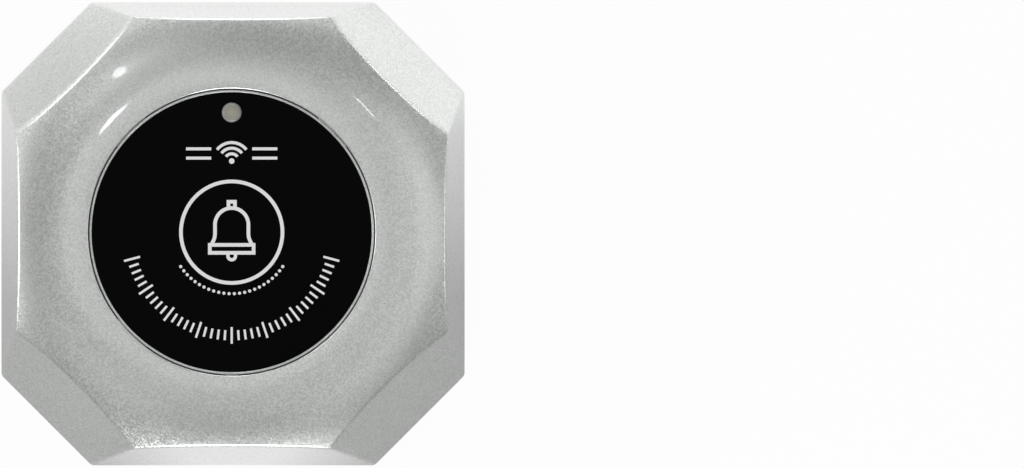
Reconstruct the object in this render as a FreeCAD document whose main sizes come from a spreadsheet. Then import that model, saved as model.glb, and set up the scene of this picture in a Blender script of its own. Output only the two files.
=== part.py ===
import FreeCAD, Part
import os
import re
import Sketcher

# Wireless waiter call button: an octagonal table case with a crowned top, whose round face is the
# button. Lengths are in millimetres and angles in degrees. Origin: on the table, under the centre of
# the case. +Z is up, and +Y points to the indicator light's side.

SIZES = {
    # case
    "case_width": 70.0,
    "corner_cut": 13.6,
    "case_height": 19.6,
    "table_gap": 0.8,
    "skirt_band": 2.8,
    "side_draft": 10.5,
    "corner_draft": 26.8,
    "crest_circle": 23.3,
    "crown_round": 22.0,
    "edge_round": 0.3,
    "lip_round": 0.25,
    "case_wall": 2.0,
    "case_fit": 0.15,
    "seat_width": 1.8,
    "seat_height": 1.2,
    "collar_wall": 1.5,
    "collar_depth": 5.6,
    # case screws, their bosses, and the feet that hide them
    "corner_circle": 28.3,
    "boss_radius": 2.6,
    "boss_bore_depth": 7.5,
    "case_screw_radius": 1.1,
    "case_screw_length": 7.0,
    "case_screw_head": 2.0,
    "screw_head_height": 1.0,
    "screw_fit": 0.02,
    "head_fit": 0.2,
    "cross_length": 1.3,
    "cross_width": 0.25,
    "cross_depth": 0.6,
    "foot_radius": 4.0,
    "foot_recess": 0.5,
    "foot_fit": 0.15,
    # base
    "base_thickness": 2.4,
    "gasket_thickness": 0.4,
    "gasket_width": 1.4,
    "fixing_pitch": 52.0,
    "fixing_radius": 1.8,
    # battery well and door
    "cell_radius": 10.0,
    "cell_thickness": 3.2,
    "cell_step": 0.35,
    "cell_step_width": 1.1,
    "cell_fit": 0.3,
    "well_wall": 1.3,
    "well_lip": 1.1,
    "well_lip_height": 0.8,
    "door_radius": 11.85,
    "door_thickness": 1.6,
    "door_fit": 0.15,
    "door_headroom": 0.1,
    "lug_reach": 1.35,
    "lug_width": 5.0,
    "lug_height": 0.7,
    "lug_fit": 0.2,
    "lug_turn": 60.0,
    "coin_slot_length": 14.0,
    "coin_slot_width": 1.8,
    "coin_slot_depth": 0.9,
    "seal_radius": 0.32,
    # circuit board
    "board_inset": 0.55,
    "board_thickness": 1.2,
    "board_height": 8.4,
    "board_screw_inset": 3.0,
    "board_screw_radius": 1.0,
    "board_screw_length": 4.0,
    "board_screw_head": 1.8,
    "post_radius": 2.3,
    # button
    "button_radius": 21.55,
    "button_gap": 0.15,
    "button_sink": 0.25,
    "button_travel": 0.5,
    "cap_floor": 1.6,
    "cap_skirt": 4.8,
    "cap_wall": 1.2,
    "rim_bevel": 0.12,
    "hook_lip": 1.3,
    "hook_lip_height": 1.2,
    "hook_play": 0.1,
    "hook_angle": 16.0,
    "key_width": 2.0,
    "key_depth": 0.85,
    "key_height": 3.0,
    "key_fit": 0.25,
    "plunger_radius": 2.0,
    "plunger_play": 0.05,
    "rim_width": 0.38,
    "label_thickness": 0.25,
    "label_fit": 0.03,
    "label_sink": 0.05,
    # return spring
    "spring_radius": 6.4,
    "spring_wire": 0.3,
    "spring_turns": 4.0,
    "spring_ring_wall": 0.8,
    "spring_ring_height": 1.0,
    "spring_fit": 0.3,
    # indicator light
    "led_inset": 3.07,
    "led_radius": 1.5,
    "led_length": 5.3,
    "led_flange": 1.9,
    "led_flange_height": 1.0,
    "led_proud": 0.6,
    "led_hole_fit": 0.1,
    "led_pitch": 2.54,
    "lead_width": 0.5,
    "lead_fit": 0.1,
    "lead_tail": 1.0,
    # tactile switch
    "switch_width": 6.0,
    "switch_height": 3.5,
    "switch_plate": 0.3,
    "stem_radius": 1.7,
    "stem_rise": 1.5,
    "stem_fit": 0.1,
    "stem_foot": 0.5,
    "stem_foot_height": 0.8,
    "switch_floor": 0.5,
    "switch_leg_length": 1.2,
    "switch_leg_width": 0.7,
    "switch_leg_pitch": 4.5,
    "dome_thickness": 0.15,
    # electronic parts on the board
    "chip_length": 5.0,
    "chip_width": 3.9,
    "chip_height": 1.5,
    "chip_pitch": 1.27,
    "chip_offset": 12.5,
    "chip_lift": 0.15,
    "chip_leg_length": 1.0,
    "chip_leg_width": 0.42,
    "chip_leg_height": 0.6,
    "crystal_length": 5.0,
    "crystal_width": 3.2,
    "crystal_height": 1.3,
    "crystal_offset": 6.0,
    "coil_radius": 2.4,
    "coil_wire": 0.3,
    "coil_turns": 5.0,
    "coil_pitch": 1.6,
    "coil_offset": 12.6,
    "coil_shift": 1.0,
    "small_part_length": 1.6,
    "small_part_width": 0.8,
    "small_part_pitch": 3.0,
    "resistor_height": 0.45,
    "capacitor_height": 0.8,
    "resistor_row": 10.5,
    "capacitor_row": 13.5,
    # battery contacts
    "contact_thickness": 0.3,
    "contact_width": 4.0,
    "contact_foot": 3.0,
    "finger_length": 6.0,
    "finger_tip": 2.0,
    "touch_gap": 0.05,
    # print on the label
    "ink_thickness": 0.05,
    "ink_line": 0.55,
    "ring_radius": 7.95,
    "bell_radius": 2.8,
    "bell_centre": 1.13,
    "bell_side": 1.43,
    "bell_flare": 1.35,
    "bell_rim_width": 7.18,
    "bell_rim_height": 1.8,
    "bell_knob": 1.64,
    "clapper_radius": 0.84,
}

# Levels and radii that follow from the sizes.
DERIVED = {
    "skirt_top": "table_gap + skirt_band",
    "flat_half": "case_width / 2",
    "corner_half": "(case_width - corner_cut) / sqrt(2)",
    "crown_centre": "case_height - crown_round",
    "hole_radius": "button_radius + button_gap",
    "hole_edge": "crown_centre + sqrt(crown_round^2 - (crest_circle - hole_radius)^2)",
    "collar_bottom": "hole_edge - collar_depth",
    "boss_top": "crown_centre + sqrt((crown_round - case_wall / 2)^2 - (corner_circle - crest_circle)^2)",
    "base_top": "table_gap + base_thickness",
    "seat_bottom": "base_top + gasket_thickness",
    "head_seat": "table_gap + foot_recess + screw_head_height",
    "door_top": "table_gap + door_thickness",
    "groove_radius": "door_radius + lug_reach + lug_fit",
    "well_step": "door_top + 2 * seal_radius + door_headroom / 2",
    "cell_bottom": "door_top + door_headroom",
    "cell_top": "cell_bottom + cell_thickness",
    "well_bore": "cell_radius + cell_fit",
    "well_outer": "groove_radius + well_wall",
    "well_ceiling": "cell_top + door_headroom",
    "well_top": "well_ceiling + well_lip_height",
    "board_top": "board_height + board_thickness",
    "board_radius": "button_radius - board_inset",
    "board_screw_circle": "board_radius - board_screw_inset",
    "cap_top": "hole_edge - button_sink",
    "label_radius": "button_radius - rim_width",
    "led_offset": "label_radius - led_inset",
    "label_bottom": "cap_top - label_sink - label_thickness",
    "label_top": "cap_top - label_sink",
    "cap_under": "label_bottom - cap_floor",
    "skirt_bottom": "cap_top - cap_skirt",
    "skirt_inner": "button_radius - cap_wall",
    "lip_top": "collar_bottom - hook_play",
    "hook_bottom": "lip_top - hook_lip_height",
    "hook_radius": "button_radius + hook_lip",
    "switch_top": "board_top + switch_height",
    "stem_top": "switch_top + stem_rise",
    "spring_ring_outer": "spring_radius - spring_wire - spring_fit",
    "led_top": "label_top + led_proud",
    "led_bottom": "led_top - led_length",
    "ink_top": "label_top + ink_thickness",
    "rim_top": "bell_centre - bell_side - bell_flare",
    "rim_bottom": "rim_top - bell_rim_height",
}

CORNER_ANGLES = (45, 135, 225, 315)
POST_ANGLES = (30, 150, 270)
FOUR_IN_A_ROW = (-1.5, -0.5, 0.5, 1.5)
# The crown's surface closes on itself here, clear of the middle of every side.
CROWN_SEAM_ANGLE = 22.5

doc = FreeCAD.newDocument("CallButton")
sheet = doc.addObject("Spreadsheet::Sheet", "Sizes")
subparts = []


def fill_sheet():
    """Writes each size beside its name, and gives the cell that name as its alias."""
    for row, (word, value) in enumerate(SIZES.items(), start=1):
        sheet.set(f"A{row}", word)
        sheet.set(f"B{row}", str(value))
        sheet.setAlias(f"B{row}", word)
    doc.recompute()


def bound(text):
    """The expression in which each size's name has become its cell, and each derived name its formula."""
    def swap(match):
        word = match.group(0)
        if word in SIZES:
            return "Sizes." + word
        if word in DERIVED:
            return "(" + bound(DERIVED[word]) + ")"
        return word
    return re.sub(r"[a-z][a-z0-9_]*", swap, text)


def value_of(text):
    """What an expression comes to now, as a plain number."""
    return float(sheet.evalExpression(bound(text)))


def bind(item, **expressions):
    """Ties the item's properties to sizes."""
    for name, text in expressions.items():
        item.setExpression(name, bound(text))


def place(item, x, y, z):
    """Ties the item's position to sizes."""
    item.setExpression("Placement.Base.x", bound(x))
    item.setExpression("Placement.Base.y", bound(y))
    item.setExpression("Placement.Base.z", bound(z))


def turn(item, axis, angle):
    """Turns the item in place about an axis through its own origin."""
    item.Placement = FreeCAD.Placement(FreeCAD.Vector(0, 0, 0), FreeCAD.Rotation(FreeCAD.Vector(*axis), angle))


def keep(item, node):
    """Names the item as one sub-part of the button."""
    item.Label = node
    subparts.append(item)
    return item


# ---- solids that many sub-parts share ----

def cylinder(name, radius, low, high, x="0", y="0"):
    """A round bar that stands from one level to another."""
    item = doc.addObject("Part::Cylinder", name)
    bind(item, Radius=radius, Height=f"({high}) - ({low})")
    place(item, x, y, low)
    return item


def box(name, length, width, low, high, x="0", y="0", angle="0"):
    """A block centred on x and y, turned about its own centre, that stands from one level to another."""
    item = doc.addObject("Part::Box", name)
    bind(item, Length=length, Width=width, Height=f"({high}) - ({low})")
    item.Placement.Rotation = FreeCAD.Rotation(FreeCAD.Vector(0, 0, 1), 0)
    item.setExpression("Placement.Rotation.Angle", bound(angle))
    corner_x = f"({x}) - ({length}) / 2 * cos({angle}) + ({width}) / 2 * sin({angle})"
    corner_y = f"({y}) - ({length}) / 2 * sin({angle}) - ({width}) / 2 * cos({angle})"
    place(item, corner_x, corner_y, low)
    return item


def cut(name, base, *tools):
    """The base with every tool taken out of it."""
    item = doc.addObject("Part::Cut", name)
    item.Base = base
    item.Tool = tools[0] if len(tools) == 1 else fuse(name + "_tools", *tools)
    return item


def fuse(name, *shapes):
    """The shapes joined into one."""
    item = doc.addObject("Part::MultiFuse", name)
    item.Shapes = list(shapes)
    return item


def common(name, *shapes):
    """What all the shapes share."""
    item = doc.addObject("Part::MultiCommon", name)
    item.Shapes = list(shapes)
    return item


def group(name, shapes):
    """Like pieces that stay separate solids."""
    item = doc.addObject("Part::Compound", name)
    item.Links = list(shapes)
    return item


def tube(name, outer, inner, low, high, x="0", y="0"):
    """A round ring that stands from one level to another."""
    return cut(name, cylinder(name + "_outside", outer, low, high, x, y),
               cylinder(name + "_inside", inner, low, high, x, y))


def octagon(name, flat, corner, low, high):
    """An eight-sided prism: a square with its corners cut by a second square turned by 45 degrees."""
    square = box(name + "_flats", f"2 * ({flat})", f"2 * ({flat})", low, high)
    corners = box(name + "_corners", f"2 * ({corner})", f"2 * ({corner})", low, high, angle="45")
    return common(name, square, corners)


def square_taper(name, half, draft, low, high, angle):
    """A square block whose four sides lean inwards by the draft as they rise."""
    item = doc.addObject("Part::Wedge", name)
    top = f"({half}) - tan({draft}) * (({high}) - ({low}))"
    bind(item, Xmin=f"-({half})", Zmin=f"-({half})", Xmax=half, Zmax=half, Ymin=low, Ymax=high,
         X2min=f"-({top})", Z2min=f"-({top})", X2max=top, Z2max=top)
    upright = FreeCAD.Rotation(FreeCAD.Vector(1, 0, 0), 90)
    around = FreeCAD.Rotation(FreeCAD.Vector(0, 0, 1), angle)
    item.Placement = FreeCAD.Placement(FreeCAD.Vector(0, 0, 0), around * upright)
    return item


def crowned_octagon(name, inset):
    """The case's form above its skirt: tapered flats and corners under the outside of a lying ring."""
    above = "case_height + case_wall"
    flats = square_taper(name + "_flats", f"flat_half - ({inset}) / cos(side_draft)", "side_draft",
                         "skirt_top", above, 0)
    corners = square_taper(name + "_corners", f"corner_half - ({inset}) / cos(corner_draft)", "corner_draft",
                           "skirt_top", above, 45)
    crown = doc.addObject("Part::Torus", name + "_crown")
    bind(crown, Radius1="crest_circle", Radius2=f"crown_round - ({inset})")
    turn(crown, (0, 0, 1), CROWN_SEAM_ANGLE)
    place(crown, "0", "0", "crown_centre")
    return common(name, flats, corners, crown)


def around(radius, angle):
    """The x and y expressions of a point on a circle about the case's centre."""
    return f"({radius}) * cos({angle})", f"({radius}) * sin({angle})"


# ---- sketches ----

def sketch(body, name, role, lift="0", swing=0):
    """A sketch on one of the body's own origin planes, lifted off it and swung about its vertical."""
    item = body.newObject("Sketcher::SketchObject", name)
    plane = next(face for face in body.Origin.OriginFeatures if face.Role == role)
    item.AttachmentSupport = [(plane, "")]
    item.MapMode = "FlatFace"
    item.AttachmentOffset = FreeCAD.Placement(FreeCAD.Vector(0, 0, 0),
                                              FreeCAD.Rotation(FreeCAD.Vector(0, 1, 0), swing))
    if lift != "0":
        item.setExpression("AttachmentOffset.Base.z", bound(lift))
    return item


def fix_point(item, line, end, x, y):
    """Holds one end of a sketch line or arc at distances from the sketch's origin."""
    for kind, text, axis in (("DistanceX", x, -2), ("DistanceY", y, -1)):
        if text == "0":
            item.addConstraint(Sketcher.Constraint("PointOnObject", line, end, axis))
        else:
            number = item.addConstraint(Sketcher.Constraint(kind, -1, 1, line, end, value_of(text)))
            item.setExpression(f"Constraints[{number}]", bound(text))


def outline(item, corners):
    """A closed outline of straight lines, with every corner held."""
    points = [FreeCAD.Vector(value_of(x), value_of(y), 0) for x, y in corners]
    first = item.GeometryCount
    for start, end in zip(points, points[1:] + points[:1]):
        item.addGeometry(Part.LineSegment(start, end), False)
    count = len(corners)
    for index in range(count):
        following = first + (index + 1) % count
        item.addConstraint(Sketcher.Constraint("Coincident", first + index, 2, following, 1))
    for index, (x, y) in enumerate(corners):
        fix_point(item, first + index, 1, x, y)


def circle(item, radius, x="0", y="0"):
    """A circle with its centre and radius held."""
    centre = FreeCAD.Vector(value_of(x), value_of(y), 0)
    line = item.addGeometry(Part.Circle(centre, FreeCAD.Vector(0, 0, 1), value_of(radius)), False)
    number = item.addConstraint(Sketcher.Constraint("Radius", line, value_of(radius)))
    item.setExpression(f"Constraints[{number}]", bound(radius))
    fix_point(item, line, 3, x, y)


def pad(body, name, profile, length):
    """Material raised from the sketch."""
    item = body.newObject("PartDesign::Pad", name)
    item.Profile = profile
    bind(item, Length=length)
    return item


def pocket(body, name, profile, depth):
    """Material taken out below the sketch. Its volume is compared, because a cut that misses is silent."""
    doc.recompute()
    before = body.Shape.Volume
    item = body.newObject("PartDesign::Pocket", name)
    item.Profile = profile
    bind(item, Length=depth)
    doc.recompute()
    if item.Shape.Volume >= before:
        raise RuntimeError(f"{name} cuts nothing")
    return item


def spin(body, name, profile, angle="360"):
    """Material turned about the sketch's upright axis, half to each side of the sketch."""
    item = body.newObject("PartDesign::Revolution", name)
    item.Profile = profile
    item.ReferenceAxis = (profile, ["V_Axis"])
    item.Midplane = True
    bind(item, Angle=angle)
    return item


def polar(body, name, feature, count):
    """Copies of a feature, evenly spaced about the body's upright axis."""
    item = body.newObject("PartDesign::PolarPattern", name)
    item.Originals = [feature]
    upright = next(line for line in body.Origin.OriginFeatures if line.Role == "Z_Axis")
    item.Axis = (upright, [""])
    item.Angle = 360
    item.Occurrences = count
    body.Tip = item
    return item


def turned(name, corners):
    """A body turned from one closed outline of radii and levels."""
    body = doc.addObject("PartDesign::Body", name)
    section = sketch(body, name + "_section", "XZ_Plane")
    outline(section, corners)
    spin(body, name + "_turned", section)
    return body


def coil(name, radius, wire, pitch, turns):
    """Round wire wound on a cylinder in one-turn lengths, from the local X axis at the origin's level."""
    path = doc.addObject("Part::Helix", name + "_path")
    path.SegmentLength = 1
    bind(path, Radius=radius, Pitch=pitch, Height=f"({pitch}) * ({turns})")
    section = doc.addObject("Part::Circle", name + "_section")
    turn(section, (1, 0, 0), 90)
    bind(section, Radius=wire)
    section.setExpression("Placement.Base.x", bound(radius))
    item = doc.addObject("Part::Sweep", name)
    item.Sections = [section]
    item.Spine = (path, [])
    item.Solid = True
    item.Frenet = True
    return item


# ---- case ----

def edges_where(item, wanted, radius):
    """Fillet entries for the edges that pass the test."""
    doc.recompute()
    size = value_of(radius)
    return [(number, size, size) for number, edge in enumerate(item.Shape.Edges, start=1) if wanted(edge)]


def rounded(name, item, wanted, radius):
    """The item with the wanted edges rounded."""
    made = doc.addObject("Part::Fillet", name)
    made.Base = item
    made.Edges = edges_where(item, wanted, radius)
    return made


def upper_cover():
    """Moulded case top with a guide collar under its round hole, four screw bosses and a gasket seat."""
    crown = crowned_octagon("cover_crown", "0")
    skirt = octagon("cover_skirt", "flat_half", "corner_half", "table_gap", "skirt_top")
    form = fuse("cover_form", crown, skirt)
    form.Refine = True
    band_top = value_of("skirt_top")

    def outer_edge(edge):
        level = edge.BoundBox.ZMax > edge.BoundBox.ZMin + 0.01 or edge.BoundBox.ZMax > band_top + 0.01
        return level and len(form.Shape.ancestorsOfType(edge, Part.Face)) == 2

    smooth = rounded("cover_rounded", form, outer_edge, "edge_round")
    cavity = crowned_octagon("cover_cavity", "case_wall")
    mouth = octagon("cover_mouth", "flat_half - case_wall", "corner_half - case_wall", "table_gap", "skirt_top")
    hole = cylinder("cover_hole", "hole_radius", "table_gap", "case_height + case_wall")
    shell = cut("cover_shell", smooth, cavity, mouth, hole)
    hole_size = value_of("hole_radius")
    edge_level = value_of("hole_edge")

    def hole_edge(edge):
        rim = edge.BoundBox
        return abs(rim.XMax - hole_size) < 0.01 and abs(rim.ZMin - edge_level) < 0.05

    lipped = rounded("cover_lipped", shell, hole_edge, "lip_round")
    collar = tube("cover_collar", "hole_radius + collar_wall", "hole_radius", "collar_bottom",
                  "hole_edge - case_wall / 2")
    seat = cut("cover_seat",
               octagon("seat_outside", "flat_half - case_wall / 2", "corner_half - case_wall / 2",
                       "seat_bottom", "seat_bottom + seat_height"),
               octagon("seat_inside", "flat_half - case_wall - seat_width",
                       "corner_half - case_wall - seat_width", "seat_bottom", "seat_bottom + seat_height"))
    bosses = []
    bores = []
    for angle in CORNER_ANGLES:
        x, y = around("corner_circle", angle)
        bosses.append(cylinder(f"cover_boss_{angle}", "boss_radius", "base_top + screw_fit", "boss_top", x, y))
        bores.append(cylinder(f"cover_bore_{angle}", "case_screw_radius + screw_fit", "base_top",
                              "base_top + boss_bore_depth", x, y))
    keyway = box("cover_keyway", "key_width + 2 * key_fit", "2 * (key_depth + key_fit)", "collar_bottom",
                 "skirt_bottom + key_height + key_fit", "0", "-button_radius")
    joined = fuse("cover_joined", lipped, collar, seat, *bosses)
    keep(cut("cover_finished", joined, keyway, *bores), "upper_cover")


def base_cover():
    """Moulded bottom plate with the battery well, three board posts, foot recesses and screw holes."""
    plate = octagon("base_plate", "flat_half - case_wall - case_fit", "corner_half - case_wall - case_fit",
                    "table_gap", "base_top")
    well = cylinder("base_well", "well_outer", "table_gap", "well_top")
    tools = [
        cylinder("base_door_hole", "door_radius + door_fit", "table_gap", "well_step"),
        cylinder("base_lug_groove", "groove_radius", "table_gap + door_thickness - lug_height - lug_fit / 2",
                 "well_step"),
        cylinder("base_cell_bore", "well_bore", "table_gap", "well_ceiling"),
        cylinder("base_well_mouth", "well_bore - well_lip", "table_gap", "well_top"),
        box("base_contact_slot", "4 * contact_thickness", "contact_width + 2 * lug_fit", "well_step", "well_top",
            "well_bore", "0"),
    ]
    notch = common("base_lug_notches",
                   cylinder("notch_round", "groove_radius", "table_gap", "door_top"),
                   box("notch_bar", "2 * groove_radius", "lug_width + 2 * lug_fit", "table_gap", "door_top",
                       angle="-lug_turn"))
    posts = []
    for angle in POST_ANGLES:
        x, y = around("board_screw_circle", angle)
        posts.append(cylinder(f"base_post_{angle}", "post_radius", "table_gap + base_thickness / 2",
                              "board_height", x, y))
        tools.append(cylinder(f"base_post_bore_{angle}", "board_screw_radius + screw_fit",
                              "board_height - board_screw_length", "board_height", x, y))
    for angle in CORNER_ANGLES:
        x, y = around("corner_circle", angle)
        tools.append(cylinder(f"base_foot_recess_{angle}", "foot_radius + foot_fit", "table_gap",
                              "table_gap + foot_recess", x, y))
        tools.append(cylinder(f"base_head_hole_{angle}", "case_screw_head + head_fit", "table_gap",
                              "head_seat", x, y))
        tools.append(cylinder(f"base_screw_hole_{angle}", "case_screw_radius + head_fit", "table_gap",
                              "base_top", x, y))
    for side in (-1, 1):
        tools.append(cylinder(f"base_fixing_hole_{side + 1}", "fixing_radius", "table_gap", "base_top",
                              f"{side} * fixing_pitch / 2"))
    joined = fuse("base_joined", plate, well, *posts)
    keep(cut("base_finished", joined, notch, *tools), "base_cover")


def case_gasket():
    """Flat silicone gasket between the base's edge and the seat inside the cover."""
    outer = octagon("gasket_outside", "flat_half - case_wall - case_fit", "corner_half - case_wall - case_fit",
                    "base_top", "seat_bottom")
    inner = octagon("gasket_inside", "flat_half - case_wall - case_fit - gasket_width",
                    "corner_half - case_wall - case_fit - gasket_width", "base_top", "seat_bottom")
    keep(cut("gasket", outer, inner), "case_gasket")


def rubber_feet():
    """Four soft discs stuck in the base's recesses, over the case screws."""
    feet = []
    for angle in CORNER_ANGLES:
        x, y = around("corner_circle", angle)
        feet.append(cylinder(f"foot_{angle}", "foot_radius", "0", "table_gap + foot_recess", x, y))
    keep(group("feet", feet), "rubber_feet")


def screw(name, radius, length, head_radius, head_height, x, y, seat, upward):
    """A cross-headed screw: its head stands under the seat and its shank goes up, or the other way round."""
    onward, back = ("+", "-") if upward else ("-", "+")
    tip = f"{seat} {onward} ({length})"
    face = f"{seat} {back} {head_height}"
    cross_floor = f"{face} {onward} cross_depth * {head_height}"

    def between(start, end):
        return (start, end) if upward else (end, start)

    shank = cylinder(name + "_shank", radius, *between(seat, tip), x, y)
    head = cylinder(name + "_head", head_radius, *between(face, seat), x, y)
    cross = [box(f"{name}_cross_{angle}", f"cross_length * {head_radius}", f"cross_width * {head_radius}",
                 *between(face, cross_floor), x, y, angle) for angle in ("0", "90")]
    return cut(name, fuse(name + "_blank", shank, head), *cross)


def housing_screws():
    """Four self-tapping screws that hold the base to the cover's bosses, with their heads below."""
    screws = []
    for angle in CORNER_ANGLES:
        x, y = around("corner_circle", angle)
        screws.append(screw(f"case_screw_{angle}", "case_screw_radius", "case_screw_length", "case_screw_head",
                            "screw_head_height", x, y, "head_seat", True))
    keep(group("case_screws", screws), "housing_screws")


def board_screws():
    """Three self-tapping screws that hold the board down on the base's posts."""
    screws = []
    for angle in POST_ANGLES:
        x, y = around("board_screw_circle", angle)
        screws.append(screw(f"board_screw_{angle}", "board_screw_radius",
                            "board_screw_length + board_thickness - head_fit", "board_screw_head",
                            "screw_head_height", x, y, "board_top", False))
    keep(group("post_screws", screws), "board_screws")


# ---- button ----

def button_cap():
    """The silver button: a dished disc with a skirt, four retaining hooks, a key and a central plunger."""
    ring_inner = "spring_ring_outer - spring_ring_wall"
    recess = "label_radius + label_fit"
    cap = turned("button_cap", [
        ("0", "stem_top + plunger_play"),
        ("plunger_radius", "stem_top + plunger_play"),
        ("plunger_radius", "cap_under"),
        (ring_inner, "cap_under"),
        (ring_inner, "cap_under - spring_ring_height"),
        ("spring_ring_outer", "cap_under - spring_ring_height"),
        ("spring_ring_outer", "cap_under"),
        ("skirt_inner", "cap_under"),
        ("skirt_inner", "skirt_bottom"),
        ("button_radius", "skirt_bottom"),
        ("button_radius", "cap_top - rim_bevel"),
        ("button_radius - rim_bevel", "cap_top"),
        (recess, "cap_top"),
        (recess, "label_bottom"),
        ("0", "label_bottom"),
    ])
    hook = sketch(cap, "cap_hook_section", "XZ_Plane", swing=45)
    outline(hook, [
        ("skirt_inner", "hook_bottom"),
        ("hook_radius", "hook_bottom"),
        ("hook_radius", "lip_top"),
        ("button_radius", "lip_top"),
        ("button_radius", "skirt_bottom + cap_wall"),
        ("skirt_inner", "skirt_bottom + cap_wall"),
    ])
    hooks = spin(cap, "cap_hook", hook, "hook_angle")
    polar(cap, "cap_hooks", hooks, len(CORNER_ANGLES))
    key = sketch(cap, "cap_key_outline", "XY_Plane", lift="skirt_bottom")
    outline(key, [
        ("-key_width / 2", "-button_radius - key_depth"),
        ("key_width / 2", "-button_radius - key_depth"),
        ("key_width / 2", "-button_radius + cap_wall / 2"),
        ("-key_width / 2", "-button_radius + cap_wall / 2"),
    ])
    pad(cap, "cap_key", key, "key_height")
    light = sketch(cap, "cap_light_outline", "XY_Plane", lift="label_bottom")
    circle(light, "led_radius + led_hole_fit", "0", "led_offset")
    pocket(cap, "cap_light_hole", light, "cap_floor")
    keep(cap, "button_cap")


def face_label():
    """Glossy black overlay in the button's shallow recess, with a hole for the light."""
    label = doc.addObject("PartDesign::Body", "face_label")
    disc = sketch(label, "label_outline", "XY_Plane", lift="label_bottom")
    circle(disc, "label_radius")
    circle(disc, "led_radius + led_hole_fit", "0", "led_offset")
    pad(label, "label_disc", disc, "label_thickness")
    keep(label, "face_label")


def label_print():
    """White ink on the label: a ring with the outline of a hand bell in it."""
    low, high = "label_top", "ink_top"
    ring = tube("ink_ring", "ring_radius", "ring_radius - ink_line", low, high)
    dome = common("ink_dome", tube("ink_dome_round", "bell_radius", "bell_radius - ink_line", low, high,
                                   "0", "bell_centre"),
                  box("ink_dome_half", "2 * bell_radius", "bell_radius", low, high,
                      "0", "bell_centre + bell_radius / 2"))
    strokes = [dome]
    flare_run = "(bell_rim_width / 2 - ink_line / 2 - bell_radius + ink_line / 2)"
    for side in (-1, 1):
        strokes.append(box(f"ink_side_{side + 1}", "ink_line", "bell_side", low, high,
                           f"{side} * (bell_radius - ink_line / 2)", "bell_centre - bell_side / 2"))
        strokes.append(box(f"ink_flare_{side + 1}", "ink_line",
                           f"sqrt(bell_flare^2 + {flare_run}^2 / 4) + ink_line", low, high,
                           f"{side} * (bell_radius - ink_line / 2 + {flare_run} / 4)",
                           "bell_centre - bell_side - bell_flare / 2",
                           f"{side} * atan({flare_run} / 2 / bell_flare)"))
    rim = cut("ink_rim",
              box("ink_rim_outside", "bell_rim_width", "bell_rim_height", low, high,
                  "0", "rim_top - bell_rim_height / 2"),
              box("ink_rim_inside", "bell_rim_width - 2 * ink_line", "bell_rim_height - 2 * ink_line", low, high,
                  "0", "rim_top - bell_rim_height / 2"))
    knob = box("ink_knob", "bell_knob", "bell_knob", low, high, "0", "bell_centre + bell_radius + bell_knob / 4")
    knob_hole = box("ink_knob_hole", "bell_knob - 2 * ink_line", "bell_knob - 2 * ink_line", low, high,
                    "0", "bell_centre + bell_radius + bell_knob / 4")
    clapper = common("ink_clapper",
                     tube("ink_clapper_round", "clapper_radius", "clapper_radius - ink_line", low, high,
                          "0", "rim_bottom"),
                     box("ink_clapper_half", "2 * clapper_radius", "clapper_radius", low, high,
                         "0", "rim_bottom - clapper_radius / 2"))
    bell = fuse("ink_bell", rim, cut("ink_knob_ring", knob, knob_hole), clapper, *strokes)
    keep(group("ink", [ring, bell]), "label_print")


def return_spring():
    """Compression spring that stands on the board round the switch and lifts the button."""
    rise = "(cap_under - board_top - 2 * spring_wire - 2 * touch_gap)"
    spring = coil("spring", "spring_radius", "spring_wire", f"{rise} / spring_turns", "spring_turns")
    place(spring, "0", "0", "board_top + spring_wire + touch_gap")
    keep(spring, "return_spring")


# ---- indicator light ----

def indicator_led():
    """Milky 3 mm light: a flange, a round barrel and a domed end that stands proud of the label."""
    light = doc.addObject("PartDesign::Body", "indicator_led")
    section = sketch(light, "led_section", "XZ_Plane")
    radius = value_of("led_radius")
    shoulder = value_of("led_length - led_radius")
    centre = FreeCAD.Vector(0, shoulder, 0)
    corners = [("0", "0"), ("led_flange", "0"), ("led_flange", "led_flange_height"),
               ("led_radius", "led_flange_height"), ("led_radius", "led_length - led_radius")]
    points = [FreeCAD.Vector(value_of(x), value_of(y), 0) for x, y in corners]
    top = FreeCAD.Vector(0, shoulder + radius, 0)
    for start, end in zip(points, points[1:]):
        section.addGeometry(Part.LineSegment(start, end), False)
    quarter = Part.ArcOfCircle(Part.Circle(centre, FreeCAD.Vector(0, 0, 1), radius), 0, 1.5707963)
    arc = section.addGeometry(quarter, False)
    axis_line = section.addGeometry(Part.LineSegment(top, points[0]), False)
    for line in range(len(points) - 2):
        section.addConstraint(Sketcher.Constraint("Coincident", line, 2, line + 1, 1))
    section.addConstraint(Sketcher.Constraint("Coincident", arc - 1, 2, arc, 1))
    section.addConstraint(Sketcher.Constraint("Coincident", arc, 2, axis_line, 1))
    section.addConstraint(Sketcher.Constraint("Coincident", axis_line, 2, 0, 1))
    for line, (x, y) in enumerate(corners[:-1]):
        fix_point(section, line, 1, x, y)
    fix_point(section, arc, 1, *corners[-1])
    fix_point(section, arc, 3, "0", corners[-1][1])
    section.addConstraint(Sketcher.Constraint("PointOnObject", arc, 2, -2))
    spin(light, "led_turned", section)
    place(light, "0", "led_offset", "led_bottom")
    keep(light, "indicator_led")


def led_leads():
    """Two square wires from the light down through the board."""
    leads = [box(f"lead_{side + 1}", "lead_width", "lead_width", "board_height - lead_tail", "led_bottom",
                 f"{side} * led_pitch / 2", "led_offset") for side in (-1, 1)]
    keep(group("leads", leads), "led_leads")


def led_spacer():
    """Nylon tube that holds the light at its height above the board."""
    barrel = cylinder("spacer_barrel", "led_flange", "board_top", "led_bottom", "0", "led_offset")
    slot = box("spacer_slot", "led_pitch + lead_width + 2 * lead_fit", "lead_width + 2 * lead_fit",
               "board_top", "led_bottom", "0", "led_offset")
    keep(cut("spacer", barrel, slot), "led_spacer")


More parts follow.
